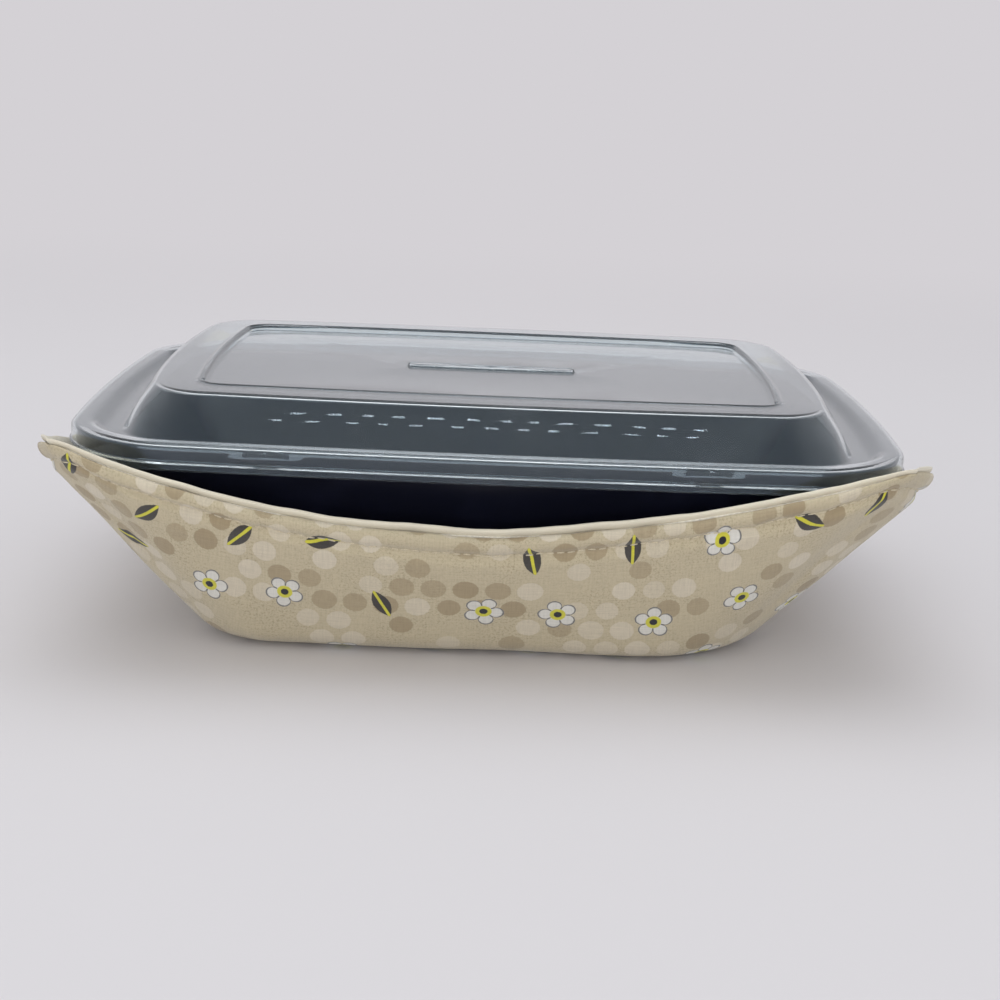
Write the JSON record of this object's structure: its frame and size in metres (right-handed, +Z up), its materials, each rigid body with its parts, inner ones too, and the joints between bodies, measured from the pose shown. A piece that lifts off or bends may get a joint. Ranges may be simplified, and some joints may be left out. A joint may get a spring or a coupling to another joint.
{
  "type": "microwave container cozy",
  "caption": "Padded fabric cozy with pointed corner ears, holding a dark rectangular meal tub with a clear press-fit lid, for carrying it hot.",
  "frame": {"origin": "middle of the cozy's flat underside, where it rests", "axes": "+X along the tub's length to the right, +Y to the back, +Z up"},
  "size_m": [0.2297, 0.1697, 0.0693],
  "materials": {
    "print_cotton": "woven printed cotton, matt",
    "lining_cotton": "soft cream cotton, matt",
    "batting": "loose cotton batting",
    "thread": "spun cotton thread",
    "tub_plastic": "satin moulded plastic",
    "lid_plastic": "clear, slightly hazy thin plastic"
  },
  "bodies": {
    "cozy": {"lining_fabric": "lining_cotton", "lining_batting": "batting", "outer_batting": "batting", "outer_fabric": "print_cotton", "rim_seam_thread": "thread", "topstitch_thread": "thread", "topstitch_bobbin_thread": "thread", "lining_dart_thread_left": "thread", "outer_dart_thread_left": "thread", "lining_dart_thread_right": "thread", "outer_dart_thread_right": "thread"},
    "tub": {"tub": "tub_plastic"},
    "lid": {"lid": "lid_plastic"}
  },
  "joints": [
    {"name": "tub_lift", "type": "slide", "parent": "cozy", "child": "tub", "axis": [0, 0, 1], "range_m": [0, 0.065]},
    {"name": "lid_lift", "type": "slide", "parent": "tub", "child": "lid", "axis": [0, 0, 1], "range_m": [0, 0.04]}
  ]
}
